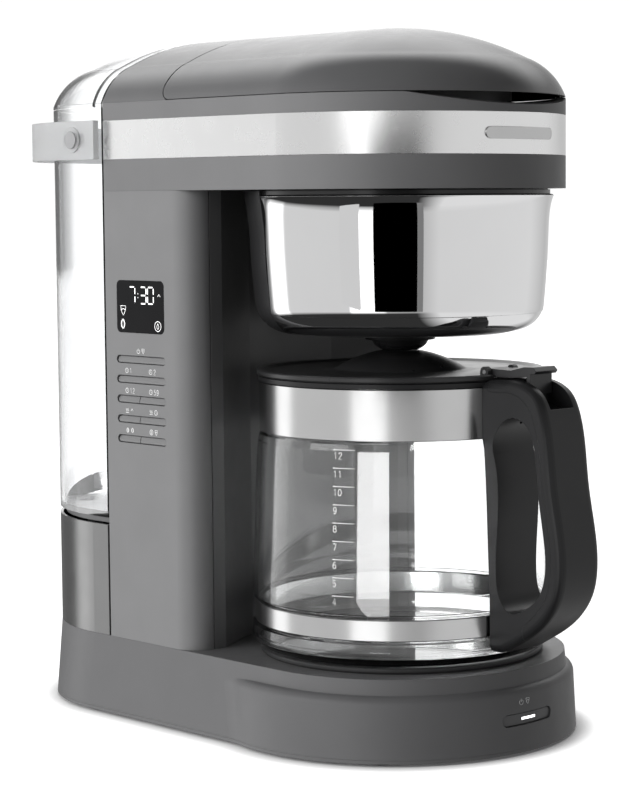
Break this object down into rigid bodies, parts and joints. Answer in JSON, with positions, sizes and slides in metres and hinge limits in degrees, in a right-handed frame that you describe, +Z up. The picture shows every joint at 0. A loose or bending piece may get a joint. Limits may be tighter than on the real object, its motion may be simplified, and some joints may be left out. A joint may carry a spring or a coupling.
{
  "type": "drip coffee maker",
  "caption": "Upright drip coffee maker with a glass carafe on a warming plate, an overhanging head with a filter basket, and a clear lift-off water tank behind the column.",
  "frame": {"origin": "Middle of the footprint's bounding box, on the table under the feet.", "axes": "+X to the right seen from the front (the control panel is on the -X side), +Y towards the water tank at the back, +Z up; the carafe and the front key face -Y."},
  "size_m": [0.188, 0.3744, 0.362],
  "materials": {
    "charcoal": "fine matte moulding",
    "dark_column": "dark matte moulding",
    "black_plastic": "smooth black moulding",
    "grip_plastic": "satin black moulding",
    "trim_silver": "satin silver",
    "badge_metal": "satin",
    "mirror_chrome": "mirror polish",
    "brushed_band": "brushed around the carafe",
    "clear_glass": "clear",
    "tank_clear": "clear moulding",
    "strap_frosted": "frosted translucent",
    "key_caps": "fine matte moulding like the panel",
    "display_black": "black gloss",
    "display_module": "black",
    "board": "circuit board green",
    "plate_coating": "non-stick coating",
    "rubber": "matte",
    "silicone": "translucent grey",
    "pin_steel": "plain",
    "heater_aluminium": "bare",
    "filter_mesh": "fine mesh"
  },
  "bodies": {
    "machine": {"base_housing": "charcoal", "base_pan": "charcoal", "feet": "rubber", "base_screws": "pin_steel", "warming_plate": "plate_coating", "plate_gasket": "rubber", "plate_heater": "heater_aluminium", "heater_clamp": "pin_steel", "thermostat": "heater_aluminium", "column_housing": "dark_column", "control_panel": "charcoal", "right_panel": "charcoal", "control_board": "board", "display_window": "display_black", "display_module": "display_module", "head_housing": "charcoal", "head_band": "trim_silver", "badge": "badge_metal", "rear_top_cover": "charcoal", "lid_hinge_pin": "pin_steel", "brew_chamber": "black_plastic", "chamber_shell": "mirror_chrome", "outlet_nozzle": "black_plastic", "valve_spring": "pin_steel", "filter_basket": "black_plastic", "mesh_filter": "filter_mesh", "tank_seat": "dark_column", "tank_seal": "silicone", "inlet_hose": "silicone", "riser_tube": "silicone", "rear_cover": "mirror_chrome", "cord_inlet": "black_plastic"},
    "lid": {"lid_cover": "charcoal", "lid_liner": "black_plastic", "shower_head": "black_plastic"},
    "drip_stop": {"drip_valve": "black_plastic"},
    "tank": {"tank_body": "tank_clear", "tank_valve": "black_plastic", "tank_pivots": "pin_steel", "tank_lid_pin": "pin_steel"},
    "tank_cover": {"tank_lid": "tank_clear"},
    "strap": {"tank_handle": "strap_frosted"},
    "carafe": {"carafe_glass": "clear_glass", "carafe_collar": "brushed_band", "carafe_lower_band": "brushed_band", "handle_post": "black_plastic", "handle_grip": "grip_plastic", "collar_screw": "pin_steel", "carafe_lid": "grip_plastic", "carafe_lid_pin": "pin_steel", "lid_lever": "grip_plastic"},
    "brew_button": {"brew_key": "key_caps"},
    "preset_button": {"preset_key": "key_caps"},
    "hour_button": {"hour_key": "key_caps"},
    "minute_button": {"minute_key": "key_caps"},
    "plate_heat_button": {"plate_heat_key": "key_caps"},
    "plate_time_button": {"plate_time_key": "key_caps"},
    "strength_button": {"strength_key": "key_caps"},
    "clean_button": {"clean_key": "key_caps"},
    "start_button": {"start_key": "key_caps"}
  },
  "joints": [
    {"name": "lid_hinge", "type": "hinge", "parent": "machine", "child": "lid", "pos_m": [0, 0.02335, 0.3592], "axis": [-1, 0, 0], "range_deg": [0, 88]},
    {"name": "tank_lift", "type": "slide", "parent": "machine", "child": "tank", "axis": [0, 0, 1], "range_m": [0, 0.3]},
    {"name": "tank_lid_hinge", "type": "hinge", "parent": "tank", "child": "tank_cover", "pos_m": [0, 0.07935, 0.3592], "axis": [1, 0, 0], "range_deg": [0, 85]},
    {"name": "tank_strap_hinge", "type": "hinge", "parent": "tank", "child": "strap", "pos_m": [0, 0.09035, 0.3075], "axis": [1, 0, 0], "range_deg": [0, 60]},
    {"name": "carafe_slide", "type": "slide", "parent": "machine", "child": "carafe", "axis": [0, -1, 0], "range_m": [0, 0.25]},
    {"name": "drip_valve_slide", "type": "slide", "parent": "machine", "child": "drip_stop", "axis": [0, 0, 1], "range_m": [0, 0.003], "stiffness_N_per_m": 150, "springref_m": -0.002, "deforming": ["valve_spring"]},
    {"name": "brew_press", "type": "slide", "parent": "machine", "child": "brew_button", "axis": [1, 0, 0], "range_m": [0, 0.001], "stiffness_N_per_m": 400, "springref_m": -0.001},
    {"name": "hour_press", "type": "slide", "parent": "machine", "child": "hour_button", "axis": [1, 0, 0], "range_m": [0, 0.001], "stiffness_N_per_m": 400, "springref_m": -0.001},
    {"name": "minute_press", "type": "slide", "parent": "machine", "child": "minute_button", "axis": [1, 0, 0], "range_m": [0, 0.001], "stiffness_N_per_m": 400, "springref_m": -0.001},
    {"name": "plate_heat_press", "type": "slide", "parent": "machine", "child": "plate_heat_button", "axis": [1, 0, 0], "range_m": [0, 0.001], "stiffness_N_per_m": 400, "springref_m": -0.001},
    {"name": "plate_time_press", "type": "slide", "parent": "machine", "child": "plate_time_button", "axis": [1, 0, 0], "range_m": [0, 0.001], "stiffness_N_per_m": 400, "springref_m": -0.001},
    {"name": "strength_press", "type": "slide", "parent": "machine", "child": "strength_button", "axis": [1, 0, 0], "range_m": [0, 0.001], "stiffness_N_per_m": 400, "springref_m": -0.001},
    {"name": "clean_press", "type": "slide", "parent": "machine", "child": "clean_button", "axis": [1, 0, 0], "range_m": [0, 0.001], "stiffness_N_per_m": 400, "springref_m": -0.001},
    {"name": "preset_rock", "type": "hinge", "parent": "machine", "child": "preset_button", "pos_m": [-0.0821, 0.04195, 0.18135], "axis": [0, 0, 1], "range_deg": [-2.5, 2.5], "stiffness_Nm_per_rad": 0.05},
    {"name": "start_press", "type": "slide", "parent": "machine", "child": "start_button", "axis": [0, 1, 0], "range_m": [0, 0.001], "stiffness_N_per_m": 400, "springref_m": -0.001}
  ]
}
